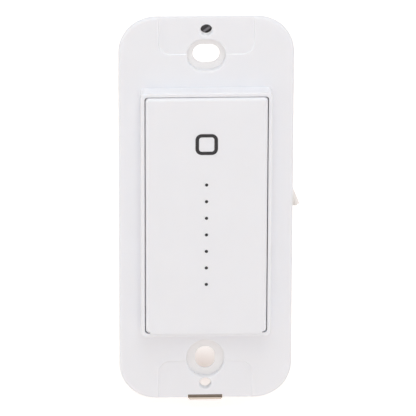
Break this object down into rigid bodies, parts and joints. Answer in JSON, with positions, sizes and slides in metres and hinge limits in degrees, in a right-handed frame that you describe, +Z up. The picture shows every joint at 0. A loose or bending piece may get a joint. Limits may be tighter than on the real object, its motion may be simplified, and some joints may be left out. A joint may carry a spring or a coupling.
{
  "type": "smart dimmer switch",
  "caption": "Wall-box dimmer with a pressed paddle, a column of level windows, a metal strap, an air-gap pull and a rear housing.",
  "frame": {"origin": "centre of the pair of cover-plate screw holes, on the mounting strap's rear face, which meets the box ears", "axes": "X to the right as seen from the room, +Y into the wall, +Z up"},
  "size_m": [0.0473, 0.0583, 0.1051],
  "materials": {
    "white_plastic": "fine satin moulding",
    "dark_window": "smoked translucent",
    "clear_plastic": "clear",
    "circuit_board": "solder mask",
    "lamp": "moulded lens",
    "black_plastic": "satin",
    "painted_steel": "white enamel",
    "spring_steel": "bright",
    "plated_steel": "nickel plated",
    "housing_plastic": "fine sparked moulding",
    "frame_plastic": "satin",
    "copper": "drawn",
    "ferrite": "sintered",
    "tinned_can": "tinned",
    "aluminium": "mill finish",
    "can_sleeve": "shrunk sleeve",
    "film_case": "moulded",
    "disc_coating": "dipped",
    "fuse_sleeve": "moulded",
    "pad_rubber": "silicone",
    "seal_rubber": "soft",
    "lead_insulation": "semi-gloss vinyl",
    "tinned_copper": "tinned strands"
  },
  "bodies": {
    "root": {"bezel": "white_plastic", "paddle_springs": "spring_steel", "front_board": "circuit_board", "level_lamps": "lamp", "tact_switch": "black_plastic", "strap": "painted_steel", "rear_housing": "housing_plastic", "lead_seals": "seal_rubber", "housing_screws": "plated_steel", "inner_frame": "frame_plastic", "airgap_contacts": "copper", "control_board": "circuit_board", "radio_shield": "tinned_can", "board_header": "black_plastic", "power_board": "circuit_board", "choke_core": "ferrite", "choke_winding": "copper", "choke_band": "black_plastic", "storage_capacitor": "can_sleeve", "film_capacitor": "film_case", "fuse": "fuse_sleeve", "surge_disc": "disc_coating", "transformer_core": "ferrite", "transformer_coil": "copper", "heat_spreader": "aluminium", "power_transistors": "black_plastic", "transistor_screws": "plated_steel", "insulating_pad": "pad_rubber", "black_lead": "lead_insulation", "lead_strands": "tinned_copper"},
    "paddle": {"paddle": "white_plastic", "mark_window": "dark_window", "dot_windows": "dark_window", "light_guide": "clear_plastic"},
    "plunger": {"tact_plunger": "white_plastic"},
    "airgap": {"airgap_blade": "plated_steel", "airgap_carrier": "black_plastic", "airgap_bridge": "copper"}
  },
  "joints": [
    {"name": "paddle_press", "type": "hinge", "parent": "root", "child": "paddle", "pos_m": [0, -0.0039, -0.03052], "axis": [-1, 0, 0], "range_deg": [0, 0.85], "stiffness_Nm_per_rad": 3, "springref_deg": -1.15, "deforming": ["paddle_springs"]},
    {"name": "plunger_travel", "type": "slide", "parent": "root", "child": "plunger", "axis": [0, 1, 0], "range_m": [0, 0.000265]},
    {"name": "airgap_pull", "type": "slide", "parent": "root", "child": "airgap", "axis": [0, 0, -1], "range_m": [0, 0.0035]}
  ],
  "couplings": [
    {"joint": "plunger_travel", "follows": "paddle_press", "m_per_rad": 0.0178}
  ]
}
